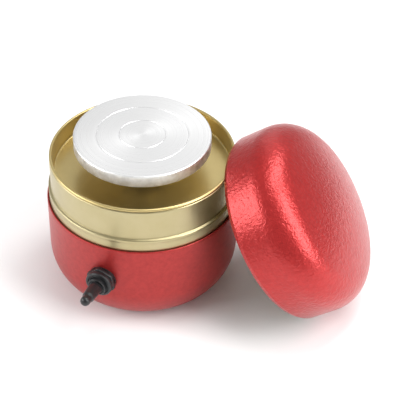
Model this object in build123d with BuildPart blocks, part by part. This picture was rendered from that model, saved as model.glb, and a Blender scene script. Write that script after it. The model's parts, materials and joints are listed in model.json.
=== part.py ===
"""Mini pottery wheel: a motor in a round tin that turns a small wheel head over a splash pan.

Millimetres, +Z up. The origin is on the wheel's axis, on the surface that the tin stands on, and the
toggle switch is near -Y. The tin's own lid leans against it on the +X side.
"""
import os
from math import cos, radians, sin

from build123d import *

# Tin
sheet = 0.5                    # tinplate
rim_height = 84.7              # top of the splash pan's rolled lip
body_radius = 54.3             # outside of the red wall
body_top = 57.0                # where the red wall ends and the neck shows
bottom_height = 0.8            # underside of the tin, on its rubber ring
shoulder_arc = 28.2            # upper part of the round belly
belly_arc = 20.0               # lower part of the round belly
belly_angle = 30               # where one arc passes into the other, below level
rolled_edge = 0.3              # middle radius of the rolled top edge of the red wall
panel_radius = 27.0            # raised middle of the tin's bottom
panel_rise = 2.5
neck_radius = 51.9
neck_foot_radius = 53.1        # the wider band that the lid lands on
step_drop = 20.0               # from the rim to the lid's landing
neck_tuck = 9.0                # length of the neck inside the red wall
lip_radius = 0.9               # rolled lip of the pan
pan_radius = 50.0
pan_depth = 10.6
collar_radius = 8.0            # water collar round the shaft
collar_height = 3.5

# Wheel
wheel_radius = 38.0
wheel_thickness = 7.25
wheel_clearance = 4.05         # from the rim up to the wheel head
groove_radii = (12.8, 25.4)    # centring rings
groove_width = 0.5
groove_depth = 0.3
hub_radius = 6.0
hub_length = 10.4
hub_flange_radius = 12.5
hub_flange_thickness = 3.0
hub_screw_circle = 9.3

# Motor
shaft_radius = 1.5875
shaft_clearance = 0.03
motor_radius = 17.9
motor_length = 50.0
motor_wall = 1.0
motor_face = 1.5
armature_radius = 13.1
magnet_radius = 13.6
pole_count = 5
bracket_sheet = 2.0
bracket_half_span = 22.5
bracket_half_width = 9.0
bracket_screw_grid = (31.0, 9.0)
motor_screw_spacing = 25.0
countersink = 1.3

# Lid
lid_radius = 54.6
lid_mouth_radius = 52.3
lid_skirt = 17.5
lid_shoulder_arc = 19.0
lid_crown_angle = 17.7
lid_lean = 35.4                # elevation of the lid's axis, mouth to crown
lid_azimuth = -10.3
lid_distance = 78.6            # from the wheel's axis to the centre of the mouth
lid_mouth_height = 43.95

# Switch and supply socket
switch_azimuth = -111.0
switch_height = 34.6
switch_turn = 19.6             # the switch stands turned clockwise in its hole
pivot_distance = 55.0
throw = 12.5                   # lever angle from its middle position, up or down
socket_azimuth = 90.0
socket_height = 30.0
pin_radius = 1.05
pin_root_radius = 0.85
pin_length = 9.0
jack_radius = 4.0
barrel_radius = 6.0
barrel_bore = 3.4
barrel_end = 59.0              # the threaded barrel's end, from the wheel's axis

screw_radius = 1.5
thread_radius = 1.25
lead_radius = 0.7
jumper_radius = 0.6

# Levels that follow from the sizes above
pan_floor = rim_height - pan_depth
gasket_thickness = 0.5
bracket_top = pan_floor - sheet - gasket_thickness
motor_top = bracket_top - bracket_sheet
motor_bottom = motor_top - motor_length
wheel_bottom = rim_height + wheel_clearance
wheel_top = wheel_bottom + wheel_thickness
panel_top = bottom_height + panel_rise + sheet
step_height = rim_height - step_drop
lean = radians(lid_lean)

nodes = []


def keep(piece, label):
    """Name a finished piece and put it in the assembly."""
    piece.part.label = label
    nodes.append(piece.part)


def outward(azimuth, distance=1.0, height=0.0):
    """The point at a distance from the wheel's axis, in a compass direction."""
    angle = radians(azimuth)
    return Vector(distance * cos(angle), distance * sin(angle), height)


def wall_plane(azimuth, height, turn=0.0):
    """A plane on the wheel's axis that faces outward, with X along the wall and Y up, turned clockwise."""
    out = outward(azimuth)
    up = Vector(0, 0, 1)
    x_dir = up.cross(out) * cos(radians(turn)) - up * sin(radians(turn))
    return Plane(origin=up * height, x_dir=x_dir, z_dir=out)


def turning_plane(origin, direction):
    """A plane whose Y runs along a direction, for a profile that is turned about it."""
    across = Vector(0, 0, 1).cross(direction).normalized()
    return Plane(origin=origin, x_dir=across, z_dir=across.cross(direction))


seat = wall_plane(switch_azimuth, switch_height, switch_turn)
socket_seat = wall_plane(socket_azimuth, socket_height)

# ---------------------------------------------------------------- tin

middle = body_radius - sheet / 2
upper = shoulder_arc - sheet / 2
lower = belly_arc - sheet / 2
turn = radians(belly_angle)
joint_r = middle - upper * (1 - cos(turn))
bottom_middle = bottom_height + sheet / 2
joint_z = bottom_middle + lower * (1 - sin(turn))
belly_top = joint_z + upper * sin(turn)
flat_radius = joint_r - lower * cos(turn)

with BuildPart() as base_shell:
    with BuildSketch(Plane.XZ):
        with BuildLine() as base_line:
            curl_height = body_top - rolled_edge - sheet / 2
            curl = CenterArc((middle - rolled_edge, curl_height), rolled_edge, 180, -180)
            Line(curl @ 1, (middle, belly_top))
            CenterArc((middle - upper, belly_top), upper, 0, -belly_angle)
            CenterArc((flat_radius, bottom_middle + lower), lower, -belly_angle, belly_angle - 90)
            FilletPolyline(
                (flat_radius, bottom_middle), (panel_radius + 1.0, bottom_middle),
                (panel_radius, bottom_middle + panel_rise), (0, bottom_middle + panel_rise), radius=0.8)
        trace(line_width=sheet)
    revolve(axis=Axis.Z)
    with BuildSketch(seat):
        Circle(barrel_radius + 0.2)
    extrude(amount=body_radius + 1, mode=Mode.SUBTRACT)
    with BuildSketch(socket_seat):
        Circle(jack_radius + 0.1)
    extrude(amount=body_radius + 1, mode=Mode.SUBTRACT)
    with BuildSketch(Plane.XY.offset(panel_top - 2)):
        with GridLocations(*bracket_screw_grid, 2, 2):
            Circle(screw_radius + 0.1)
    extrude(amount=4, mode=Mode.SUBTRACT)
keep(base_shell, "base_shell")

with BuildPart() as neck_ring:
    with BuildSketch(Plane.XZ):
        with BuildLine():
            outer = neck_radius - sheet / 2
            foot = neck_foot_radius - sheet / 2
            FilletPolyline(
                (outer - 0.9, rim_height - 1.95), (outer, rim_height - 1.95), (outer, step_height),
                (foot + 0.1, step_height - 0.6), (foot + 0.1, step_height - 1.9),
                (foot - 0.1, step_height - 2.6), (foot - 0.1, body_top - neck_tuck), radius=0.5)
        trace(line_width=sheet)
    revolve(axis=Axis.Z)
keep(neck_ring, "neck_ring")

with BuildPart() as splash_pan:
    with BuildSketch(Plane.XZ):
        with BuildLine():
            inner = pan_radius + sheet / 2
            floor = pan_floor - sheet / 2
            roll = lip_radius - sheet / 2
            collar = collar_radius + sheet / 2
            lip_height = rim_height - lip_radius
            Line((inner + 2 * roll, lip_height - 0.4), (inner + 2 * roll, lip_height))
            CenterArc((inner + roll, lip_height), roll, 0, 180)
            FilletPolyline(
                (inner, lip_height), (inner - 0.4, floor), (collar, floor),
                (collar, pan_floor + collar_height), radius=1.2)
        trace(line_width=sheet)
    revolve(axis=Axis.Z)
keep(splash_pan, "splash_pan")

with BuildPart() as foot_ring:
    with BuildSketch():
        Circle(flat_radius - 0.4)
        Circle(panel_radius + 1.8, mode=Mode.SUBTRACT)
    extrude(amount=bottom_height)
keep(foot_ring, "foot_ring")

# ---------------------------------------------------------------- lid

lid_axis = outward(lid_azimuth, cos(lean), sin(lean))
lid_origin = outward(lid_azimuth, lid_distance, lid_mouth_height)

with BuildPart() as lid_shell:
    with BuildSketch(turning_plane(lid_origin, lid_axis)):
        with BuildLine():
            wall = lid_radius - sheet / 2
            arc = lid_shoulder_arc - sheet / 2
            crown = radians(lid_crown_angle)
            crown_arc = (wall - arc + arc * sin(crown)) / sin(crown)
            crown_centre = lid_skirt + (arc - crown_arc) * cos(crown)
            mouth = lid_mouth_radius + 0.05
            FilletPolyline(
                (mouth, 1.6), (mouth, 0.25), (mouth + 1.0, 0.25), (wall, 2.3), (wall, 4.0), radius=0.5)
            Line((wall, 4.0), (wall, lid_skirt))
            CenterArc((wall - arc, lid_skirt), arc, 0, 90 - lid_crown_angle)
            CenterArc((0, crown_centre), crown_arc, 90 - lid_crown_angle, lid_crown_angle)
        trace(line_width=sheet)
    revolve(axis=Axis(lid_origin, lid_axis))
keep(lid_shell, "lid_shell")

# ---------------------------------------------------------------- wheel head and hub

with BuildPart() as wheel_head:
    with BuildSketch(Plane.XZ):
        with Locations((0, wheel_bottom)):
            Rectangle(wheel_radius, wheel_thickness, align=(Align.MIN, Align.MIN))
        for groove_radius in groove_radii:
            with Locations((groove_radius, wheel_top)):
                Rectangle(groove_width, 2 * groove_depth, mode=Mode.SUBTRACT)
    revolve(axis=Axis.Z)
    chamfer(wheel_head.edges().filter_by(GeomType.CIRCLE).group_by(SortBy.RADIUS)[-1], length=0.45)
    with BuildSketch(Plane.XY.offset(wheel_bottom)):
        with PolarLocations(hub_screw_circle, 3):
            Circle(thread_radius)
    extrude(amount=5, mode=Mode.SUBTRACT)
keep(wheel_head, "wheel_head")

hub_bottom = wheel_bottom - hub_length
grub_height = hub_bottom + 4.6
with BuildPart() as hub:
    with BuildSketch(Plane.XY.offset(hub_bottom)):
        Circle(hub_radius)
    extrude(amount=hub_length)
    with BuildSketch(Plane.XY.offset(wheel_bottom - hub_flange_thickness)):
        Circle(hub_flange_radius)
    extrude(amount=hub_flange_thickness)
    with BuildSketch(Plane.XY.offset(hub_bottom)):
        Circle(shaft_radius)
        with PolarLocations(hub_screw_circle, 3):
            Circle(screw_radius)
    extrude(amount=hub_length, mode=Mode.SUBTRACT)
    with BuildSketch(Plane.YZ.offset(shaft_radius / 2)):
        with Locations((0, grub_height)):
            Circle(thread_radius)
    extrude(amount=hub_radius, mode=Mode.SUBTRACT)
keep(hub, "hub")

with BuildPart() as hub_screws:
    with BuildSketch(Plane.XY.offset(wheel_bottom - hub_flange_thickness - 1.8)):
        with PolarLocations(hub_screw_circle, 3):
            Circle(2.6)
    extrude(amount=1.8)
    with BuildSketch(Plane.XY.offset(wheel_bottom - hub_flange_thickness)):
        with PolarLocations(hub_screw_circle, 3):
            Circle(thread_radius)
    extrude(amount=hub_flange_thickness + 4.5)
    with BuildSketch(Plane.XY.offset(wheel_bottom - hub_flange_thickness - 1.8)):
        with PolarLocations(hub_screw_circle, 3):
            Rectangle(3.4, 0.7)
            Rectangle(0.7, 3.4)
    extrude(amount=1.0, mode=Mode.SUBTRACT)
keep(hub_screws, "hub_screws")

with BuildPart() as hub_grub_screw:
    with BuildSketch(Plane.YZ.offset(shaft_radius)):
        with Locations((0, grub_height)):
            Circle(thread_radius)
    extrude(amount=hub_radius - 0.4 - shaft_radius)
    with BuildSketch(Plane.YZ.offset(hub_radius - 1.4)):
        with Locations((0, grub_height)):
            RegularPolygon(0.75, 6, major_radius=False)
    extrude(amount=1.0, mode=Mode.SUBTRACT)
keep(hub_grub_screw, "hub_grub_screw")

with BuildPart() as slinger:
    with BuildSketch(Plane.XZ):
        with BuildLine():
            slinger_top = hub_bottom + 0.9
            FilletPolyline(
                (hub_radius + 0.4, slinger_top + 1.7), (hub_radius + 0.4, slinger_top),
                (collar_radius + 2.2, slinger_top), (collar_radius + 2.8, pan_floor + 1.6), radius=0.8)
        trace(line_width=0.8)
    revolve(axis=Axis.Z)
keep(slinger, "slinger")

# ---------------------------------------------------------------- motor

rear_bush_height = 5.5
end_cap_height = 4.0
end_cap_top = motor_bottom + end_cap_height
bush_radius = 3.0
commutator_radius = 4.5
commutator_height = 5.5
core_bottom = motor_bottom + 15.0
core_height = 24.0
coil_height = 4.0
terminal_distance = 10.9
terminal_thickness = 0.6
terminal_width = 3.0
terminal_bottom = motor_bottom - 8.5

with BuildPart() as motor_shaft:
    with BuildSketch(Plane.XY.offset(motor_bottom - 0.4)):
        Circle(shaft_radius)
    extrude(amount=wheel_bottom - 0.5 - (motor_bottom - 0.4))
    chamfer(motor_shaft.edges(), length=0.3)
keep(motor_shaft, "motor_shaft")

with BuildPart() as motor_can:
    with BuildSketch(Plane.XY.offset(motor_bottom)):
        Circle(motor_radius)
    extrude(amount=motor_length)
    with BuildSketch(Plane.XY.offset(motor_top)):
        Circle(6.5)
    extrude(amount=bracket_sheet + 1.0)
    outer_edges = motor_can.edges().filter_by(GeomType.CIRCLE).group_by(SortBy.RADIUS)[-1]
    fillet(outer_edges.sort_by(Axis.Z)[-1], radius=0.8)
    with BuildSketch(Plane.XY.offset(motor_bottom)):
        Circle(motor_radius - motor_wall)
    extrude(amount=motor_length - motor_face, mode=Mode.SUBTRACT)
    with BuildSketch(Plane.XY.offset(motor_top - motor_face - 1)):
        Circle(4.0)
        with GridLocations(motor_screw_spacing, 1, 2, 1):
            Circle(thread_radius)
    extrude(amount=10, mode=Mode.SUBTRACT)
keep(motor_can, "motor_can")

with BuildPart() as motor_front_bush:
    with BuildSketch(Plane.XY.offset(motor_top - motor_face)):
        Circle(4.0)
        Circle(shaft_radius + shaft_clearance, mode=Mode.SUBTRACT)
    extrude(amount=motor_face + bracket_sheet + 1.0)
keep(motor_front_bush, "motor_front_bush")

with BuildPart() as motor_magnets:
    with BuildSketch(Plane.XY.offset(core_bottom - 2)):
        Circle(motor_radius - motor_wall)
        Circle(magnet_radius, mode=Mode.SUBTRACT)
        Rectangle(9, 2 * motor_radius, mode=Mode.SUBTRACT)
    extrude(amount=core_height + 4)
keep(motor_magnets, "motor_magnets")

with BuildPart() as motor_end_cap:
    with BuildSketch(Plane.XY.offset(motor_bottom)):
        Circle(motor_radius - motor_wall)
    extrude(amount=end_cap_height)
    with BuildSketch(Plane.XY.offset(motor_bottom - 3.0)):
        Circle(bush_radius + 2.2)
    extrude(amount=3.0)
    with BuildSketch(Plane.XY.offset(end_cap_top - rear_bush_height)):
        Circle(bush_radius)
    extrude(amount=rear_bush_height, mode=Mode.SUBTRACT)
    with BuildSketch(Plane.XY.offset(motor_bottom)):
        with GridLocations(1, 2 * terminal_distance, 1, 2):
            Rectangle(terminal_width, terminal_thickness)
    extrude(amount=end_cap_height, mode=Mode.SUBTRACT)
keep(motor_end_cap, "motor_end_cap")

with BuildPart() as motor_rear_bush:
    with BuildSketch(Plane.XY.offset(end_cap_top - rear_bush_height)):
        Circle(bush_radius)
        Circle(shaft_radius + shaft_clearance, mode=Mode.SUBTRACT)
    extrude(amount=rear_bush_height)
keep(motor_rear_bush, "motor_rear_bush")

with BuildPart() as commutator:
    with BuildSketch(Plane.XY.offset(end_cap_top + 0.6)):
        Circle(commutator_radius)
        with PolarLocations(commutator_radius, pole_count):
            Rectangle(1.2, 0.4, mode=Mode.SUBTRACT)
        Circle(shaft_radius, mode=Mode.SUBTRACT)
    extrude(amount=commutator_height)
keep(commutator, "commutator")

with BuildPart() as motor_brushes:
    with BuildSketch(Plane.XZ.offset(commutator_radius + 0.08)):
        with Locations((0, end_cap_top + 3.4)):
            Rectangle(3.0, 4.0)
    extrude(amount=terminal_distance - terminal_thickness / 2 - commutator_radius - 0.08)
    mirror(about=Plane.XZ)
keep(motor_brushes, "motor_brushes")

with BuildPart() as motor_terminals:
    with BuildSketch(Plane.XY.offset(terminal_bottom)):
        with GridLocations(1, 2 * terminal_distance, 1, 2):
            Rectangle(terminal_width, terminal_thickness)
    extrude(amount=end_cap_top + 6.0 - terminal_bottom)
keep(motor_terminals, "motor_terminals")

slot_radius = 3.0
with BuildPart() as armature_core:
    with BuildSketch(Plane.XY.offset(core_bottom)):
        Circle(armature_radius)
        with PolarLocations(8.2, pole_count):
            Circle(slot_radius, mode=Mode.SUBTRACT)
        with PolarLocations(armature_radius - 1, pole_count):
            Rectangle(5.0, 1.6, mode=Mode.SUBTRACT)
        Circle(shaft_radius, mode=Mode.SUBTRACT)
    extrude(amount=core_height)
keep(armature_core, "armature_core")

with BuildPart() as armature_windings:
    with BuildSketch(Plane.XY.offset(core_bottom)):
        with PolarLocations(8.2, pole_count):
            Circle(slot_radius - 0.2)
    extrude(amount=core_height)
    with BuildSketch(Plane.XY.offset(core_bottom - coil_height)):
        Circle(11.8)
        Circle(5.0, mode=Mode.SUBTRACT)
    extrude(amount=coil_height)
    with BuildSketch(Plane.XY.offset(core_bottom + core_height)):
        Circle(11.8)
        Circle(5.0, mode=Mode.SUBTRACT)
    extrude(amount=coil_height)
    fillet(armature_windings.edges().filter_by(GeomType.CIRCLE).group_by(Axis.Z)[0], radius=1.2)
    fillet(armature_windings.edges().filter_by(GeomType.CIRCLE).group_by(Axis.Z)[-1], radius=1.2)
keep(armature_windings, "armature_windings")

# ---------------------------------------------------------------- motor bracket

foot_inner = 10.5
hanging = (Align.CENTER, Align.CENTER, Align.MAX)
with BuildPart() as motor_bracket:
    with BuildSketch(Plane.XZ.offset(-bracket_half_width)):
        with BuildLine():
            side = bracket_half_span - bracket_sheet / 2
            top = bracket_top - bracket_sheet / 2
            sole = panel_top + bracket_sheet / 2
            FilletPolyline(
                (-foot_inner, sole), (-side, sole), (-side, top), (side, top), (side, sole),
                (foot_inner, sole), radius=2.5)
        trace(line_width=bracket_sheet)
    extrude(amount=2 * bracket_half_width)
    with BuildSketch(Plane.XY):
        with GridLocations(*bracket_screw_grid, 2, 2):
            Circle(1.6)
    extrude(amount=20, mode=Mode.SUBTRACT)
    with BuildSketch(Plane.XY.offset(motor_top - 1)):
        Circle(6.6)
        with GridLocations(motor_screw_spacing, 1, 2, 1):
            Circle(screw_radius)
    extrude(amount=5, mode=Mode.SUBTRACT)
    with Locations(Plane.XY.offset(bracket_top)):
        with GridLocations(motor_screw_spacing, 1, 2, 1):
            Cone(screw_radius, 2.8, countersink, align=hanging, mode=Mode.SUBTRACT)
keep(motor_bracket, "motor_bracket")

with BuildPart() as motor_face_screws:
    with BuildSketch(Plane.XY.offset(motor_top - motor_face - 2)):
        with GridLocations(motor_screw_spacing, 1, 2, 1):
            Circle(thread_radius)
    extrude(amount=bracket_top - countersink - (motor_top - motor_face - 2))
    with Locations(Plane.XY.offset(bracket_top)):
        with GridLocations(motor_screw_spacing, 1, 2, 1):
            Cone(thread_radius, 2.6, countersink, align=hanging)
keep(motor_face_screws, "motor_face_screws")

with BuildPart() as shaft_gasket:
    with BuildSketch(Plane.XY.offset(bracket_top)):
        Circle(hub_flange_radius - 3.0)
        Circle(collar_radius - 0.8, mode=Mode.SUBTRACT)
    extrude(amount=gasket_thickness)
keep(shaft_gasket, "shaft_gasket")

nut_height = 2.4
panel_bottom = panel_top - sheet
with BuildPart() as bracket_screws:
    with BuildSketch(Plane.XY.offset(panel_bottom - 1.6)):
        with GridLocations(*bracket_screw_grid, 2, 2):
            Circle(2.7)
    extrude(amount=1.6)
    with BuildSketch(Plane.XY.offset(panel_bottom)):
        with GridLocations(*bracket_screw_grid, 2, 2):
            Circle(screw_radius)
    extrude(amount=sheet + bracket_sheet + nut_height + 0.8)
    with BuildSketch(Plane.XY.offset(panel_bottom - 1.6)):
        with GridLocations(*bracket_screw_grid, 2, 2):
            Rectangle(3.6, 0.8)
            Rectangle(0.8, 3.6)
    extrude(amount=0.9, mode=Mode.SUBTRACT)
keep(bracket_screws, "bracket_screws")

with BuildPart() as bracket_nuts:
    with BuildSketch(Plane.XY.offset(panel_top + bracket_sheet)):
        with GridLocations(*bracket_screw_grid, 2, 2):
            RegularPolygon(2.75, 6, major_radius=False)
            Circle(screw_radius, mode=Mode.SUBTRACT)
    extrude(amount=nut_height)
keep(bracket_nuts, "bracket_nuts")

# ---------------------------------------------------------------- toggle switch

housing_width = 18.0
housing_height = 28.0
housing_depth = 17.0
housing_face = 47.0            # distance of the housing's face from the wheel's axis
frame_plate = 1.0
tab_ends = 24.0
tab_spacing_across = 6.4
tab_spacing_up = 7.0
tab_thickness = 0.8
inner_nut_face = 52.0
washer_thickness = 0.9
switch_out = seat.z_dir
switch_centre = seat.origin
switch_line = Axis(switch_centre, switch_out)

with BuildPart() as switch_body:
    with BuildSketch(seat.offset(housing_face - housing_depth)):
        RectangleRounded(housing_width, housing_height, 1.2)
    extrude(amount=housing_depth)
keep(switch_body, "switch_body")

with BuildPart() as switch_frame:
    with BuildSketch(seat.offset(housing_face)):
        Rectangle(housing_width, housing_height)
        Circle(barrel_bore, mode=Mode.SUBTRACT)
    extrude(amount=frame_plate)
    with BuildSketch(seat.offset(housing_face - 11)):
        with GridLocations(housing_width + 0.8, 1, 2, 1):
            Rectangle(0.8, 16)
    extrude(amount=11 + frame_plate)
keep(switch_frame, "switch_frame")

with BuildPart() as switch_bushing:
    with BuildSketch(seat.offset(housing_face + frame_plate)):
        Circle(barrel_radius)
        Circle(barrel_bore, mode=Mode.SUBTRACT)
    extrude(amount=barrel_end - housing_face - frame_plate)
    chamfer(switch_bushing.edges().group_by(switch_line)[-1], length=0.4)
keep(switch_bushing, "switch_bushing")

with BuildPart() as switch_inner_nut:
    with BuildSketch(seat.offset(inner_nut_face)):
        RegularPolygon(7.0, 6, major_radius=False)
        Circle(barrel_radius, mode=Mode.SUBTRACT)
    extrude(amount=-2.2)
keep(switch_inner_nut, "switch_inner_nut")

with BuildPart() as switch_lock_washer:
    with BuildSketch(seat.offset(inner_nut_face)):
        Circle(8.6)
        Circle(barrel_radius + 0.05, mode=Mode.SUBTRACT)
    extrude(amount=washer_thickness)
keep(switch_lock_washer, "switch_lock_washer")

with BuildPart() as switch_terminals:
    with BuildSketch(seat.offset(tab_ends)):
        with GridLocations(tab_spacing_across, tab_spacing_up, 2, 3):
            Rectangle(tab_thickness, 3.0)
    extrude(amount=housing_face - housing_depth - tab_ends)
keep(switch_terminals, "switch_terminals")

seal_height = 0.7
nut_foot = body_radius + seal_height
nut_face = nut_foot + 2.5
with BuildPart() as boot_nut:
    with BuildSketch(seat.offset(nut_foot)):
        RegularPolygon(7.7, 6, major_radius=False)
        Circle(8.5, mode=Mode.INTERSECT)
        Circle(barrel_radius, mode=Mode.SUBTRACT)
    extrude(amount=nut_face - nut_foot)
keep(boot_nut, "boot_nut")

with BuildPart() as boot_seal:
    with BuildSketch(seat.offset(body_radius - 1)):
        Circle(7.9)
        Circle(barrel_radius + 0.3, mode=Mode.SUBTRACT)
    extrude(amount=1 + seal_height)
    with BuildSketch(Plane.XY.offset(switch_height - 10)):
        Circle(body_radius)
    extrude(amount=20, mode=Mode.SUBTRACT)
keep(boot_seal, "boot_seal")

flange_radius = 7.7
flange_face = nut_face + 2.8
boot_ring_radius = 5.3
boot_ring_face = flange_face + 2.4
boot_opening = 4.0             # leaves the lever room at both ends of its travel
boot_bore = barrel_radius + 0.15
with BuildPart() as boot_base:
    with BuildSketch(turning_plane(switch_centre, switch_out)):
        with BuildLine():
            FilletPolyline(
                (boot_bore, nut_face), (flange_radius, nut_face), (flange_radius, flange_face),
                (boot_ring_radius + 0.3, flange_face - 0.5), (boot_ring_radius, flange_face),
                (boot_ring_radius, boot_ring_face), (boot_opening, boot_ring_face),
                (boot_opening, barrel_end + 0.3), (boot_bore, barrel_end + 0.2),
                radius=[0.3, 0.9, 0.15, 0.15, 0.6, 0.3, 0.3])
            Line((boot_bore, barrel_end + 0.2), (boot_bore, nut_face))
        make_face()
    revolve(axis=switch_line)
keep(boot_base, "boot_base")

pivot = outward(switch_azimuth, pivot_distance, switch_height)
lever_out = switch_out * cos(radians(throw)) + seat.y_dir * sin(radians(throw))
lever_length = 24.0
lever_radius = 1.9
ball_radius = 2.8
ball_height = 2.4
lever_plane = turning_plane(pivot, lever_out)

with BuildPart() as toggle_lever:
    with BuildSketch(lever_plane):
        with BuildLine():
            Polyline((0, -4.0), (1.2, -4.0), (1.4, -ball_height))
            ThreePointArc((1.4, -ball_height), (ball_radius, 0), (1.4, ball_height))
            Line((1.4, ball_height), (lever_radius, lever_length - lever_radius))
            CenterArc((0, lever_length - lever_radius), lever_radius, 0, 90)
            Line((0, lever_length), (0, -4.0))
        make_face()
    revolve(axis=Axis(pivot, lever_out))
keep(toggle_lever, "toggle_lever")

sleeve_start = 9.4             # clears the boot's base at both ends of the travel
sleeve_radius = 3.6
tip_radius = 2.7
with BuildPart() as boot_sleeve:
    with BuildSketch(lever_plane):
        with BuildLine():
            FilletPolyline(
                (0, sleeve_start), (sleeve_radius, sleeve_start), (sleeve_radius - 0.25, lever_length - 4.0),
                (tip_radius, lever_length - 2.0), (tip_radius, lever_length), radius=[0.4, 1.5, 1.5])
            CenterArc((0, lever_length), tip_radius, 0, 90)
            Line((0, lever_length + tip_radius), (0, sleeve_start))
        make_face()
    revolve(axis=Axis(pivot, lever_out))
    add(toggle_lever.part, mode=Mode.SUBTRACT)
keep(boot_sleeve, "boot_sleeve")

# ---------------------------------------------------------------- supply socket

socket_line = Axis(socket_seat.origin, socket_seat.z_dir)
socket_face = 56.6
socket_back = 42.0
socket_nut_face = 52.4
pin_foot = socket_face - pin_length - 0.5
jack_tab_spacing = 5.0
jack_tab_ends = 37.0
jack_tab_grip = 4.0            # length of each tab inside the body
with BuildPart() as jack_body:
    with BuildSketch(socket_seat.offset(body_radius - 0.6)):
        Circle(jack_radius + 1.6)
    extrude(amount=socket_face - body_radius + 0.6)
    with BuildSketch(Plane.XY.offset(socket_height - 8)):
        Circle(body_radius)
    extrude(amount=16, mode=Mode.SUBTRACT)
    with BuildSketch(socket_seat.offset(socket_back)):
        Circle(jack_radius)
    extrude(amount=body_radius + 0.5 - socket_back)
    fillet(jack_body.edges().group_by(socket_line)[-1], radius=0.6)
    with BuildSketch(socket_seat.offset(pin_foot)):
        Circle(2.8)
    extrude(amount=pin_length + 0.5, mode=Mode.SUBTRACT)
    with BuildSketch(socket_seat.offset(socket_back)):
        with GridLocations(jack_tab_spacing, 1, 2, 1):
            Rectangle(0.5, 2.0)
    extrude(amount=jack_tab_grip, mode=Mode.SUBTRACT)
    with BuildSketch(socket_seat.offset(socket_back)):
        Circle(pin_root_radius)
    extrude(amount=pin_foot - socket_back, mode=Mode.SUBTRACT)
keep(jack_body, "jack_body")

with BuildPart() as jack_pin:
    with BuildSketch(socket_seat.offset(socket_back)):
        Circle(pin_root_radius)
    extrude(amount=pin_foot - socket_back)
    with BuildSketch(socket_seat.offset(pin_foot)):
        Circle(pin_radius)
    extrude(amount=pin_length)
    chamfer(jack_pin.edges().group_by(socket_line)[-1], length=0.3)
keep(jack_pin, "jack_pin")

with BuildPart() as jack_nut:
    with BuildSketch(socket_seat.offset(socket_nut_face)):
        RegularPolygon(5.5, 6, major_radius=False)
        Circle(jack_radius, mode=Mode.SUBTRACT)
    extrude(amount=-2.4)
keep(jack_nut, "jack_nut")

with BuildPart() as jack_lock_washer:
    with BuildSketch(socket_seat.offset(socket_nut_face)):
        Circle(6.2)
        Circle(jack_radius + 0.05, mode=Mode.SUBTRACT)
    extrude(amount=washer_thickness)
keep(jack_lock_washer, "jack_lock_washer")

with BuildPart() as jack_terminals:
    with BuildSketch(socket_seat.offset(jack_tab_ends)):
        with GridLocations(jack_tab_spacing, 1, 2, 1):
            Rectangle(0.5, 2.0)
    extrude(amount=socket_back + jack_tab_grip - jack_tab_ends)
keep(jack_terminals, "jack_terminals")

# ---------------------------------------------------------------- leads


def at_switch(distance, side, up):
    """A point behind the switch: distance from the wheel's axis, and sideways and up on its housing."""
    return switch_centre + switch_out * distance + seat.x_dir * side + seat.y_dir * up


def lead(points, radii, wire_radius):
    """A wire along straight runs joined by arcs."""
    with BuildPart() as wire:
        with BuildLine() as route:
            FilletPolyline(*points, radius=radii)
        with BuildSketch(Plane(origin=route.line @ 0, z_dir=route.line % 0)):
            Circle(wire_radius)
        sweep()
    return wire


half_tab = tab_spacing_across / 2
half_jack_tab = jack_tab_spacing / 2
bend = 21.3
low = terminal_bottom - 4.0
red_supply_points = [
    at_switch(tab_ends, -half_tab, 0), at_switch(bend, -half_tab, 0), at_switch(bend + 0.6, -15, -4),
    Vector(-31, -2, 32), Vector(-24, 23, 30.5), Vector(-half_jack_tab, 31.5, socket_height),
    Vector(-half_jack_tab, jack_tab_ends, socket_height)]
supply_lead_red = lead(red_supply_points, [2.4, 8, 14, 14, 4.0], lead_radius)
keep(supply_lead_red, "supply_lead_red")

black_supply_points = [
    at_switch(tab_ends, half_tab, 0), at_switch(bend, half_tab, 0), at_switch(bend + 0.6, 15, 2),
    Vector(24, -22, 33), Vector(31, 0, 31.5), Vector(24, 23, 30.5),
    Vector(half_jack_tab, 31.5, socket_height), Vector(half_jack_tab, jack_tab_ends, socket_height)]
supply_lead_black = lead(black_supply_points, [2.4, 8, 12, 14, 14, 4.0], lead_radius)
keep(supply_lead_black, "supply_lead_black")

tab_low = -tab_spacing_up - 0.8
front_terminal = Vector(0, -terminal_distance, terminal_bottom)
rear_terminal = Vector(0, terminal_distance, terminal_bottom)
red_bend = at_switch(bend, -half_tab, tab_low)
black_bend = at_switch(bend, half_tab, tab_low)
motor_lead_red = lead(
    [at_switch(tab_ends, -half_tab, tab_low), red_bend, Vector(red_bend.X, red_bend.Y, low),
     Vector(0, -terminal_distance, low), front_terminal],
    [2.4, 3.5, 3.0], lead_radius)
keep(motor_lead_red, "motor_lead_red")

motor_lead_black = lead(
    [at_switch(tab_ends, half_tab, tab_low), black_bend, Vector(black_bend.X, black_bend.Y, low),
     Vector(7.5, -9, low), Vector(3.5, terminal_distance - 4, low), Vector(0, terminal_distance, low),
     rear_terminal],
    [2.4, 3.5, 4, 3.0, 1.6], lead_radius)
keep(motor_lead_black, "motor_lead_black")

jumper_up = tab_spacing_up - 0.8
with BuildPart() as switch_jumpers:
    for side, depth in ((-half_tab, 21.9), (half_tab, 20.2)):
        with BuildLine() as jumper_route:
            FilletPolyline(
                at_switch(tab_ends, side, jumper_up), at_switch(depth, side, jumper_up),
                at_switch(depth, -side, -jumper_up), at_switch(tab_ends, -side, -jumper_up), radius=1.6)
        with BuildSketch(Plane(origin=jumper_route.line @ 0, z_dir=jumper_route.line % 0)):
            Circle(jumper_radius)
        sweep(path=jumper_route.line)
keep(switch_jumpers, "switch_jumpers")

# ---------------------------------------------------------------- export

os.makedirs("parts", exist_ok=True)
for node in nodes:
    export_step(node, f"parts/{node.label}.step")
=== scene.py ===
import json
from math import acos, cos, degrees, pi, radians, sin, tan

import bmesh
import bpy
import numpy as np
from mathutils import Matrix, Vector, noise


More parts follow.
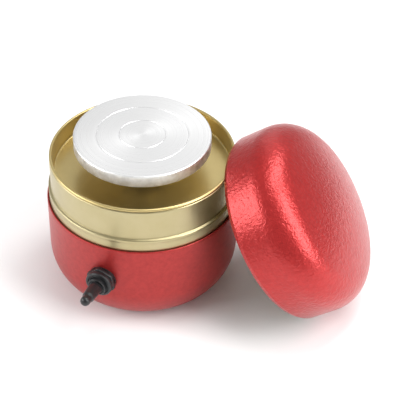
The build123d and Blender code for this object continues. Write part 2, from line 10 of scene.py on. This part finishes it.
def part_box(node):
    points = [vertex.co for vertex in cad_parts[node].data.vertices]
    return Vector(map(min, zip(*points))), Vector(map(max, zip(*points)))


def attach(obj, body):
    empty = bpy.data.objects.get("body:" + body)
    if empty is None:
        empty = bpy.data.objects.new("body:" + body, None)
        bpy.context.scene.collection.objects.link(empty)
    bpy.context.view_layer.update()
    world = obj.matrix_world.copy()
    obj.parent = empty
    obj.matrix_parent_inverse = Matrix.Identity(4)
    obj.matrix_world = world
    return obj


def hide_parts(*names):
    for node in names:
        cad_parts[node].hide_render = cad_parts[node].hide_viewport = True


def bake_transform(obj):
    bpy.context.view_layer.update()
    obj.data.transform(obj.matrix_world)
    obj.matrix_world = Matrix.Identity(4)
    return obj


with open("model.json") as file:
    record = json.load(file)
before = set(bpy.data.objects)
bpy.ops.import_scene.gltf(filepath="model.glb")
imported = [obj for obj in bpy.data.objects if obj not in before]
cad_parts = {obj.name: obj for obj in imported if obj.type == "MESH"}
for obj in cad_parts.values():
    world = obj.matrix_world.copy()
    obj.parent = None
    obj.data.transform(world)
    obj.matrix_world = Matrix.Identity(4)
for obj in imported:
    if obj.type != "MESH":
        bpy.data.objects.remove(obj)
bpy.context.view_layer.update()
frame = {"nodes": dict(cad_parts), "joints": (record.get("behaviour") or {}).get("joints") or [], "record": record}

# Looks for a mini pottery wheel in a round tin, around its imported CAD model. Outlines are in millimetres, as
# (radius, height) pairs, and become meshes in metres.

mm = 0.001

# ---------------------------------------------------------------- sizes, from the frame

rim_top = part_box("splash_pan")[1].z / mm
body_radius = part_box("base_shell")[1].x / mm
body_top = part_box("base_shell")[1].z / mm
body_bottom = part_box("base_shell")[0].z / mm
neck_foot_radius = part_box("neck_ring")[1].x / mm
neck_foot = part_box("neck_ring")[0].z / mm
wheel_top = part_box("wheel_head")[1].z / mm
wheel_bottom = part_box("wheel_head")[0].z / mm
wheel_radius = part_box("wheel_head")[1].x / mm
joints = {joint["name"]: joint for joint in frame["joints"]}
pivot = Vector(joints["switch_toggle"]["pos_m"]) / mm
lever_axis = Vector(joints["switch_toggle"]["axis"])
switch_out = Vector((pivot.x, pivot.y, 0)).normalized()
lever_up = switch_out.cross(lever_axis)
lever_throw = radians(joints["switch_toggle"]["range_deg"][1] / 2)

tinplate = 0.5

# The lid's place: how far its axis rises from level, the way it points, and the middle of its mouth.
lid_lean = radians(35.4)
lid_azimuth = radians(-10.3)
lid_distance = 78.6
lid_mouth_height = 43.95

# The lid's outline: its radius outside, its straight skirt, its shoulder's arc, half of its crown's angle,
# and the radius of its curled edge.
lid_radius = 54.6
lid_skirt = 17.5
lid_shoulder_arc = 19.0
lid_crown_angle = radians(17.7)
lid_mouth_radius = 52.35

relief_seed = 1

# ---------------------------------------------------------------- outline helpers


def rounded(corners, radii, turn_step=radians(7)):
    """A path of straight runs through corners, each corner turned with its own radius."""
    path = [Vector(corners[0])]
    for before, corner, after, radius in zip(corners, corners[1:], corners[2:], radii):
        corner = Vector(corner)
        back, ahead = (Vector(before) - corner).normalized(), (Vector(after) - corner).normalized()
        half = acos(max(-1, min(1, back.dot(ahead)))) / 2
        reach = radius / tan(half)
        centre = corner + (back + ahead).normalized() * radius / sin(half)
        first, last = corner + back * reach - centre, corner + ahead * reach - centre
        turn = pi - 2 * half
        steps = max(2, round(turn / turn_step))
        for i in range(steps + 1):
            share = i / steps
            path.append(centre + (first * sin((1 - share) * turn) + last * sin(share * turn)) / sin(turn))
    path.append(Vector(corners[-1]))
    return path


def arc(centre, radius, start, end, steps):
    """Points on an arc, from one angle to another, in degrees."""
    angles = [radians(start + (end - start) * i / steps) for i in range(steps + 1)]
    return [Vector((centre[0] + radius * cos(a), centre[1] + radius * sin(a))) for a in angles]


def even(path, spacing):
    """The same path with points about a spacing apart. Every point that it has is kept."""
    points = [path[0]]
    for a, b in zip(path, path[1:]):
        steps = max(1, round((b - a).length / spacing))
        points += [a.lerp(b, i / steps) for i in range(1, steps + 1)]
    return points


def cleaned(path):
    """The path without points that repeat."""
    points = [path[0]]
    for point in path[1:]:
        if (point - points[-1]).length > 1e-4:
            points.append(point)
    return points


def beside(path, distance):
    """The path moved sideways to its left by a distance."""
    moved = []
    for i, point in enumerate(path):
        along = (path[min(i + 1, len(path) - 1)] - path[max(i - 1, 0)]).normalized()
        moved.append(point + Vector((-along.y, along.x)) * distance)
    return moved


def turned(name, outline, segments, materials, sides=None, closed=True, place=Matrix.Identity(4)):
    """A piece made by turning an outline about the z axis and then placing it.

    sides gives each stretch of the outline the number of its material.
    """
    count = len(outline)
    angles = np.linspace(0, 2 * pi, segments, endpoint=False)
    radius = np.array([p.x for p in outline])
    height = np.array([p.y for p in outline])
    on_axis = radius < 1e-6
    points = np.stack([
        np.outer(np.cos(angles), radius), np.outer(np.sin(angles), radius),
        np.tile(height, (segments, 1))], axis=2).reshape(-1, 3) * mm
    faces, numbers = [], []
    stretches = count if closed else count - 1
    for i in range(segments):
        here, there = i * count, (i + 1) % segments * count
        for j in range(stretches):
            k = (j + 1) % count
            if on_axis[j] and on_axis[k]:
                continue
            if on_axis[j]:
                face = (j, there + k, here + k)
            elif on_axis[k]:
                face = (here + j, there + j, k)
            else:
                face = (here + j, there + j, there + k, here + k)
            faces.append(face)
            numbers.append(sides[j] if sides else 0)
    return smooth_piece(name, [place @ Vector(p) for p in points], faces, materials, numbers)


def smooth_piece(name, points, faces, materials, numbers):
    """A smooth piece from points in metres, with the number of its material for each face."""
    mesh = bpy.data.meshes.new(name)
    mesh.from_pydata(points, [], faces)
    mesh.polygons.foreach_set("material_index", numbers)
    mesh.polygons.foreach_set("use_smooth", [True] * len(faces))
    mend(mesh)
    for material in materials:
        mesh.materials.append(material)
    return linked(name, mesh)


def linked(name, data):
    """An object that holds a mesh, a light or a camera, in the scene."""
    item = bpy.data.objects.new(name, data)
    bpy.context.scene.collection.objects.link(item)
    return item


def mend(mesh):
    """Removes the loose points at the axis and turns every face outward."""
    shape = bmesh.new()
    shape.from_mesh(mesh)
    bmesh.ops.delete(shape, geom=[v for v in shape.verts if not v.link_faces], context="VERTS")
    bmesh.ops.recalc_face_normals(shape, faces=shape.faces)
    shape.to_mesh(mesh)
    shape.free()


def sheet_outline(path, thickness, spacing):
    """A closed outline round a path: its left side, and then its right side, with as many points, back."""
    path = even(cleaned(path), spacing)
    left, right = beside(path, thickness / 2), beside(path, -thickness / 2)
    if path[-1].x < 1e-6:
        left[-1].x = right[-1].x = 0
    return left + right[::-1]


# ---------------------------------------------------------------- material helpers

# Most of a noise texture's values lie between these two.
mottle_low, mottle_high = 0.3, 0.7


def new_material(name, **sockets):
    """A Principled material with constant values on its own sockets."""
    material = bpy.data.materials.new(name)
    material.use_nodes = True
    shader = material.node_tree.nodes["Principled BSDF"]
    for socket, value in sockets.items():
        shader.inputs[socket.replace("_", " ")].default_value = value
    return material, material.node_tree, shader


def add(tree, kind, **settings):
    """A node of a kind, with its properties or input values set."""
    node = tree.nodes.new("ShaderNode" + kind)
    for key, value in settings.items():
        if hasattr(node, key):
            setattr(node, key, value)
        else:
            node.inputs[key.replace("_", " ")].default_value = value
    return node


def place_vector(tree):
    """The point on the piece in its own frame."""
    return add(tree, "TexCoord").outputs["Object"]


def noise_value(tree, vector, scale, detail=3.0, roughness=0.5, distortion=0.0):
    """A noise texture's value."""
    node = add(tree, "TexNoise", Scale=scale, Detail=detail, Roughness=roughness, Distortion=distortion)
    tree.links.new(vector, node.inputs["Vector"])
    return node.outputs["Fac"]


def spread(tree, value, low, high, start=0.0, end=1.0):
    """A value mapped from start and end to low and high."""
    node = add(tree, "MapRange", From_Min=start, From_Max=end, To_Min=low, To_Max=high)
    tree.links.new(value, node.inputs["Value"])
    return node.outputs["Result"]


def blend_colours(tree, share, first, second):
    """A colour between two, by a value. A Mix node's colours are its inputs 6 and 7 and its output 2."""
    node = add(tree, "Mix", data_type="RGBA")
    node.inputs[6].default_value = (*first, 1)
    node.inputs[7].default_value = (*second, 1)
    tree.links.new(share, node.inputs[0])
    return node.outputs[2]


def tint(tree, shader, value, first, second):
    """A base colour that goes from one colour to another over the middle of a value's range."""
    share = spread(tree, value, 0, 1, mottle_low, mottle_high)
    tree.links.new(blend_colours(tree, share, first, second), shader.inputs["Base Color"])


def sheen(tree, shader, value, smoother, rougher):
    """A roughness that goes from one value to another over the middle of a value's range."""
    roughness = spread(tree, value, smoother, rougher, mottle_low, mottle_high)
    tree.links.new(roughness, shader.inputs["Roughness"])


def bump(tree, shader, height, distance, under=None):
    """Relief from a height value, in mm, over any relief given as under."""
    node = add(tree, "Bump", Strength=1.0, Distance=distance * mm)
    tree.links.new(height, node.inputs["Height"])
    if under is not None:
        tree.links.new(under, node.inputs["Normal"])
    tree.links.new(node.outputs["Normal"], shader.inputs["Normal"])
    return node.outputs["Normal"]


# ---------------------------------------------------------------- materials


def red_lacquer(name, metallic, grain, relief, deep, bright, roughness, coat):
    """Metallic red lacquer: fine grain, and a leathery relief where relief is above 0."""
    material, tree, shader = new_material(
        name, Metallic=metallic, Coat_Weight=coat, Coat_Roughness=0.3, Coat_IOR=1.5)
    place = place_vector(tree)
    tint(tree, shader, noise_value(tree, place, 420, 4, 0.65), deep, bright)
    cloud = spread(tree, noise_value(tree, place, 240, 2), roughness - 0.05, roughness + 0.06)
    tree.links.new(cloud, shader.inputs["Roughness"])
    normal = bump(tree, shader, noise_value(tree, place, 2200, 2), grain)
    if relief > 0:
        ridges = noise_value(tree, place, 560, 0, 0.5, 1.0)
        normal = bump(tree, shader, ridges, relief, under=normal)
    tree.links.new(normal, shader.inputs["Coat Normal"])
    return material


def gold_lacquer(name, deep, bright):
    """Clear gold lacquer on tinplate: satin, with faint smudges and a fine grain."""
    material, tree, shader = new_material(name, Metallic=0.95, Coat_Weight=0.2, Coat_Roughness=0.2)
    place = place_vector(tree)
    smudge = noise_value(tree, place, 38, 5, 0.6)
    tint(tree, shader, smudge, deep, bright)
    sheen(tree, shader, smudge, 0.30, 0.40)
    bump(tree, shader, noise_value(tree, place, 900, 3), 0.006)
    return material


def turned_metal(name, colour, roughness, pitch, depth, anisotropic=0.0):
    """Lathe-turned metal: concentric lines about the wheel's axis, with a pitch and a depth in mm."""
    material, tree, shader = new_material(name, Metallic=1.0, Anisotropic=anisotropic)
    split = add(tree, "SeparateXYZ")
    tree.links.new(place_vector(tree), split.inputs["Vector"])
    flat = add(tree, "CombineXYZ")
    tree.links.new(split.outputs["X"], flat.inputs["X"])
    tree.links.new(split.outputs["Y"], flat.inputs["Y"])
    length = add(tree, "VectorMath", operation="LENGTH")
    tree.links.new(flat.outputs["Vector"], length.inputs[0])
    profile = add(tree, "CombineXYZ")
    tree.links.new(length.outputs["Value"], profile.inputs["X"])
    tree.links.new(split.outputs["Z"], profile.inputs["Y"])
    lines = noise_value(tree, profile.outputs["Vector"], 1000 / pitch, 3, 0.6)
    tint(tree, shader, lines, [c * 0.93 for c in colour], colour)
    sheen(tree, shader, lines, roughness - 0.05, roughness + 0.07)
    bump(tree, shader, lines, depth)
    if anisotropic:
        tangent = add(tree, "Tangent", direction_type="RADIAL", axis="Z")
        tree.links.new(tangent.outputs["Tangent"], shader.inputs["Tangent"])
    return material


def plain_metal(name, colour, roughness, scratch=0.01, scale=400):
    """Plated, cast or drawn metal with an uneven sheen."""
    material, tree, shader = new_material(name, Metallic=1.0)
    place = place_vector(tree)
    cloud = noise_value(tree, place, scale, 4, 0.6)
    tint(tree, shader, cloud, [c * 0.8 for c in colour], colour)
    sheen(tree, shader, cloud, roughness - 0.06, roughness + 0.1)
    bump(tree, shader, noise_value(tree, place, scale * 3, 3), scratch)
    return material


def dull(name, colour, roughness, grain=0.02, scale=900, coat=0.0):
    """Moulded plastic, rubber, carbon or magnet: a fine matt grain."""
    material, tree, shader = new_material(name, Coat_Weight=coat, Coat_Roughness=0.15)
    place = place_vector(tree)
    cloud = noise_value(tree, place, scale / 6, 3, 0.6)
    tint(tree, shader, cloud, colour, [min(1, c * 1.25 + 0.004) for c in colour])
    sheen(tree, shader, cloud, roughness - 0.06, roughness + 0.08)
    bump(tree, shader, noise_value(tree, place, scale, 2), grain)
    return material


lid_red = red_lacquer("lid_red", 0.62, 0.003, 0.16, (0.40, 0.007, 0.007), (0.49, 0.014, 0.013), 0.36, 0.6)
# The tin's body has the same red lacquer as the lid. Its colours here are a darker, less saturated copy of the
# lid's red: painted shade for the softer light that falls on the body. It is also rougher, with less coat and no
# relief.
base_red_painted_shade = red_lacquer("base_red_painted_shade", 0.6, 0.016, 0.0, (0.34, 0.014, 0.013), (0.44, 0.024, 0.021), 0.45, 0.35)
gold = gold_lacquer("gold_lacquer", (0.44, 0.375, 0.20), (0.51, 0.445, 0.26))
pan_gold = gold_lacquer("pan_gold", (0.58, 0.45, 0.19), (0.66, 0.53, 0.24))
wheel_aluminium = turned_metal("wheel_aluminium", (0.96, 0.96, 0.96), 0.30, 0.35, 0.001, anisotropic=0.5)
wheel_edge = plain_metal("wheel_edge", (0.95, 0.95, 0.95), 0.42, 0.004, 300)
hub_aluminium = turned_metal("hub_aluminium", (0.78, 0.78, 0.80), 0.3, 0.4, 0.01)
steel = plain_metal("zinc_steel", (0.62, 0.62, 0.64), 0.34)
bronze = plain_metal("sintered_bronze", (0.60, 0.38, 0.20), 0.45, 0.02, 700)
copper = plain_metal("enamelled_copper", (0.62, 0.24, 0.11), 0.3, 0.05, 900)
core_steel = plain_metal("laminated_steel", (0.26, 0.27, 0.29), 0.5, 0.02, 500)
magnet = dull("ferrite", (0.035, 0.035, 0.037), 0.6)
carbon = dull("carbon", (0.02, 0.02, 0.02), 0.55)
rubber = dull("black_rubber", (0.009, 0.009, 0.010), 0.36, 0.010, 1400)
black_plastic = dull("black_plastic", (0.018, 0.018, 0.020), 0.36, 0.01, 1600)
white_plastic = dull("ivory_plastic", (0.72, 0.69, 0.60), 0.4)
red_pvc = dull("red_pvc", (0.52, 0.02, 0.015), 0.3, 0.005, 900, coat=0.3)
black_pvc = dull("black_pvc", (0.015, 0.015, 0.015), 0.3, 0.005, 900, coat=0.3)

slot_materials = {
    "red_enamel": base_red_painted_shade, "gold_lacquer": gold, "aluminium": hub_aluminium, "steel": steel,
    "bronze": bronze, "copper": copper, "core_steel": core_steel, "magnet": magnet, "carbon": carbon,
    "black_rubber": rubber, "black_plastic": black_plastic, "white_plastic": white_plastic,
    "red_pvc": red_pvc, "black_pvc": black_pvc}
for part in frame["record"]["subparts"]:
    node = frame["nodes"][part["node"]]
    node.data.materials.clear()
    node.data.materials.append(slot_materials[part["material_slot"]])

# ---------------------------------------------------------------- tin and wheel head

tin_segments = 256


def base_tin():
    """The red tin: rolled top edge, round belly, and a raised panel in its bottom."""
    # The side bends in two arcs, the belly's and the bottom corner's, and meeting is how far it is off upright
    # where they meet, in degrees.
    belly, corner, meeting = 28.2 - tinplate / 2, 20.0 - tinplate / 2, 30
    rolled_edge, rim = 0.3, body_radius - tinplate / 2
    bottom = body_bottom + tinplate / 2
    meeting_radius = rim - belly * (1 - cos(radians(meeting)))
    meeting_height = bottom + corner * (1 - sin(radians(meeting)))
    belly_top = meeting_height + belly * sin(radians(meeting))
    flat = meeting_radius - corner * cos(radians(meeting))
    panel, panel_top, panel_bend = 27.0, bottom + 2.5, 0.8
    path = arc((rim - rolled_edge, body_top - rolled_edge - tinplate / 2), rolled_edge, 180, 0, 8)
    path += arc((rim - belly, belly_top), belly, 0, -meeting, 14)
    path += arc((flat, bottom + corner), corner, -meeting, -90, 24)
    path += rounded(
        [(flat, bottom), (panel + 1, bottom), (panel, panel_top), (0, panel_top)], [panel_bend, panel_bend])
    outline = sheet_outline(path, tinplate, 2.0)
    left = len(outline) // 2
    sides = [0] * (left - 1) + [1] * (len(outline) - left + 1)
    tin = turned("base_tin", outline, tin_segments, [base_red_painted_shade, gold], sides)
    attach(tin, "base")
    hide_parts("base_shell")


def neck():
    """The gold neck: a step that the lid lands on, and a wider band that goes down into the tin."""
    band, foot = 51.9 - tinplate / 2, neck_foot_radius - 0.1 - tinplate / 2
    top, step = rim_top - 1.95, rim_top - 20.0
    flange, bead = 0.9, 0.1
    corners = [
        (band - flange, top), (band, top), (band, step), (foot + bead, step - 0.6),
        (foot + bead, step - 1.9), (foot - bead, step - 2.6), (foot - bead, neck_foot)]
    bends = [0.5, 0.5, 0.4, 0.4, 0.4]
    outline = sheet_outline(rounded(corners, bends), tinplate, 2.0)
    ring = turned("neck_tin", outline, tin_segments, [gold])
    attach(ring, "base")
    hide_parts("neck_ring")


def pan():
    """The splash pan: a rolled lip over the neck, a flat floor, and a collar round the shaft."""
    lip, lip_tail = 0.9, 0.4
    wall, wall_taper = 50.0 + tinplate / 2, 0.4
    roll = lip - tinplate / 2
    floor_height = rim_top - 10.6 - tinplate / 2
    collar, collar_top = 8.0 + tinplate / 2, rim_top - 7.1
    path = [Vector((wall + 2 * roll, rim_top - lip - lip_tail))]
    path += arc((wall + roll, rim_top - lip), roll, 0, 180, 14)
    corners = [
        (wall, rim_top - lip), (wall - wall_taper, floor_height), (collar, floor_height), (collar, collar_top)]
    path += rounded(corners, [1.2, 1.2])
    outline = sheet_outline(path, tinplate, 2.0)
    basin = turned("splash_basin", outline, tin_segments, [pan_gold])
    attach(basin, "base")
    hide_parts("splash_pan")


def wheel():
    """The wheel head: bevelled edges and two fine centring rings."""
    bevel, edge_bend = 0.45, 0.2
    ring_radii, groove, depth, groove_bend = (12.8, 25.4), 0.22, 0.3, 0.05
    corners = [(0, wheel_top)]
    radii = []
    for ring in ring_radii:
        corners += [(ring - groove, wheel_top), (ring, wheel_top - depth), (ring + groove, wheel_top)]
        radii += [groove_bend] * 3
    corners += [(wheel_radius - bevel, wheel_top), (wheel_radius, wheel_top - bevel),
                (wheel_radius, wheel_bottom + bevel), (wheel_radius - bevel, wheel_bottom), (0, wheel_bottom)]
    radii += [edge_bend] * 4
    outline = even(cleaned(rounded(corners, radii)), 1.5)
    sides = [1 if wheel_radius - bevel < (a.x + b.x) / 2 else 0 for a, b in zip(outline, outline[1:])]
    head = turned("wheel_disc", outline, tin_segments, [wheel_aluminium, wheel_edge], sides, closed=False)
    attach(head, "wheel")
    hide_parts("wheel_head")


base_tin()
neck()
pan()
wheel()

# ---------------------------------------------------------------- lid


def lid_path(shoulder_steps, crown_steps):
    """The middle of the lid's sheet, from the curl at its mouth to its crown."""
    wall = lid_radius - tinplate / 2
    shoulder = lid_shoulder_arc - tinplate / 2
    crown = (wall - shoulder + shoulder * sin(lid_crown_angle)) / sin(lid_crown_angle)
    crown_centre = lid_skirt + (shoulder - crown) * cos(lid_crown_angle)
    top = 90 - degrees(lid_crown_angle)
    edge, curl_end, bend = tinplate / 2, 1.6, 0.5
    path = rounded(
        [(lid_mouth_radius, curl_end), (lid_mouth_radius, edge), (lid_mouth_radius + 1, edge), (wall, 2.3),
         (wall, 4)], [bend] * 3)
    path += arc((wall - shoulder, lid_skirt), shoulder, 0, top, shoulder_steps)
    path += arc((0, crown_centre), crown, top, 90, crown_steps)
    return cleaned(path)


def lid():
    """The domed lid: a curled mouth, a straight skirt and a round shoulder, with a relief outside."""
    inside_spacing, outside_spacing, segments, relief = 4.0, 0.6, 512, 0.10
    inside = beside(even(lid_path(14, 10), inside_spacing), tinplate / 2)
    outside = beside(even(lid_path(40, 60), outside_spacing), -tinplate / 2)
    inside[-1].x = outside[-1].x = 0
    outline = inside + outside[::-1]
    across, along = cos(lid_azimuth), sin(lid_azimuth)
    axis = Vector((across * cos(lid_lean), along * cos(lid_lean), sin(lid_lean)))
    mouth = Vector((across * lid_distance, along * lid_distance, lid_mouth_height)) * mm
    side = Vector((0, 0, 1)).cross(axis).normalized()
    place = Matrix((side, axis.cross(side), axis)).transposed().to_4x4()
    place.translation = mouth
    sides = [1] * (len(inside) - 1) + [0] * (len(outside) + 1)
    shell = turned("lid_dome", outline, segments, [lid_red, gold], sides, place=place)
    hammer(shell, relief)
    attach(shell, "lid")
    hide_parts("lid_shell")


def hammer(shell, height):
    """Presses a leathery relief, in mm, into the red side: short winding ridges with dimples between them."""
    warp_frequency, warp_reach = 0.3, 0.9
    ridge_frequency, ridge_steepness, ridge_share = 0.42, 2.4, 0.6
    dimple_frequency, dimple_share = 0.8, 0.4
    sunk = 0.4
    # Without a seed, noise_vector takes its offsets from the clock, and the relief changes with every run.
    noise.seed_set(relief_seed)
    mesh = shell.data
    red = {i for face in mesh.polygons if face.material_index == 0 for i in face.vertices}
    gold_side = {i for face in mesh.polygons if face.material_index == 1 for i in face.vertices}
    normals = {i: mesh.vertices[i].normal.copy() for i in red - gold_side}
    for i, normal in normals.items():
        point = mesh.vertices[i].co / mm
        warp = noise.noise_vector(point * warp_frequency) * warp_reach
        ridge = 1 - ridge_steepness * abs(noise.noise(point * ridge_frequency + warp))
        dimple = noise.noise(point * dimple_frequency + warp)
        mesh.vertices[i].co += normal * (ridge_share * ridge + dimple_share * dimple - sunk) * height * mm
    mesh.update()


lid()

# ---------------------------------------------------------------- switch boot


def boot():
    """The sealing boot: a ribbed rubber foot on the nut and a sleeve over the lever, in one skin."""
    # Each corner is its radius, its distance out from the lever's pivot, and its rounding.
    foot, flange, ring, tip = 2.5, 5.3, 7.7, 26.7
    centre = 0.01
    profile = [
        (centre, foot, 0), (7.7, foot, 0.3), (7.7, flange, 1.0), (6.2, flange + 0.1, 0.35),
        (5.75, flange - 0.8, 0.35), (5.3, flange - 0.3, 0.2), (5.3, ring, 0.7), (4.5, ring, 0.4),
        (3.9, ring - 0.6, 0.3), (3.65, ring + 0.7, 0.3), (3.55, 14.0, 4), (3.3, 20.4, 1.0), (2.75, 21.9, 1.2),
        (2.72, 24.0, 2), (2.7, tip, 2.5), (centre, tip, 0)]
    corners = [(radius, out) for radius, out, _ in profile]
    roundings = [rounding for _, _, rounding in profile[1:-1]]
    rings = even(cleaned(rounded(corners, roundings, radians(12))), 0.5)
    segments = 72
    bend_start, bend_end = ring - 1.2, ring + 3.6
    points, faces = [], []
    for outline_point in rings:
        share = max(0, min(1, (outline_point.y - bend_start) / (bend_end - bend_start)))
        angle = lever_throw * share * share * (3 - 2 * share)
        out = switch_out * cos(angle) + lever_up * sin(angle)
        up = out.cross(lever_axis)
        for i in range(segments):
            a = 2 * pi * i / segments
            spoke = (lever_axis * cos(a) + up * sin(a)) * outline_point.x
            points.append((pivot + out * outline_point.y + spoke) * mm)
    for j in range(len(rings) - 1):
        for i in range(segments):
            k = (i + 1) % segments
            faces.append((j * segments + i, j * segments + k, (j + 1) * segments + k, (j + 1) * segments + i))
    faces.append(tuple(range(segments))[::-1])
    faces.append(tuple((len(rings) - 1) * segments + i for i in range(segments)))
    skin = smooth_piece("rubber_boot", points, faces, [rubber], [0] * len(faces))
    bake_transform(skin)
    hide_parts("boot_base", "boot_sleeve")


def soften(name, width):
    """Rounds the edges of a CAD node, whose shape stays."""
    node = frame["nodes"][name]
    weld = node.modifiers.new("weld", "WELD")
    weld.merge_threshold = 0.01 * mm
    bevel = node.modifiers.new("bevel", "BEVEL")
    bevel.width = width * mm
    bevel.segments = 3
    bevel.limit_method = "ANGLE"
    bevel.angle_limit = radians(28)
    bevel.harden_normals = True
    node.data.polygons.foreach_set("use_smooth", [True] * len(node.data.polygons))


boot()
soften("boot_nut", 0.5)

# ---------------------------------------------------------------- stage


def floor():
    """A plain pale floor."""
    half = 3.0
    mesh = bpy.data.meshes.new("floor")
    corners = [(-half, -half, 0), (half, -half, 0), (half, half, 0), (-half, half, 0)]
    mesh.from_pydata(corners, [], [(0, 1, 2, 3)])
    mesh.materials.append(new_material("floor_white", Base_Color=(0.92, 0.92, 0.92, 1), Roughness=0.9)[0])
    plane = linked("floor", mesh)


def softbox(name, place, target, width, height, power):
    """A rectangular area light that faces a target."""
    light = bpy.data.lights.new(name, "AREA")
    light.shape = "RECTANGLE"
    light.size, light.size_y = width, height
    light.energy = power
    lamp = linked(name, light)
    lamp.location = place
    lamp.rotation_euler = (target - place).to_track_quat("-Z", "Y").to_euler()


def studio():
    """Four softboxes round the object, whose reflections are the lid's highlights, in a pale room."""
    world = bpy.data.worlds.new("studio")
    world.use_nodes = True
    background = world.node_tree.nodes["Background"]
    background.inputs["Color"].default_value = (1, 1, 1, 1)
    background.inputs["Strength"].default_value = 0.46
    bpy.context.scene.world = world
    middle = Vector((0.08, -0.03, 0.08))
    distance = 0.9
    # Each bank is its name, the way to it, its length and width in metres, and its power in watts.
    banks = [
        ("right", (0.69, -0.32, 0.62), 1.1, 0.40, 9.0), ("top", (0.20, 0.23, 0.95), 0.75, 0.30, 4.2),
        ("back", (-0.05, 0.82, 0.56), 0.80, 0.40, 0.5), ("left", (-0.89, -0.16, 0.36), 0.34, 0.70, 4.4)]
    for name, direction, length, width, power in banks:
        place = middle + Vector(direction).normalized() * distance
        softbox(name, place, middle, width, length, power)


def camera():
    """The viewing angle: in front of the wheel and a little to its right, looking down."""
    lens = bpy.data.cameras.new("camera")
    lens.sensor_width = 36
    lens.lens = 103.84615
    eye = linked("camera", lens)
    pitch, roll = radians(50.113), radians(1.69)
    place = Vector((37.12, -530.05, rim_top + 402.83)) * mm
    turns = Matrix.Rotation(pitch, 4, "X") @ Matrix.Rotation(roll, 4, "Z")
    eye.matrix_world = Matrix.Translation(place) @ turns
    bpy.context.scene.camera = eye


floor()
studio()
camera()
bpy.context.scene.view_settings.view_transform = "Standard"
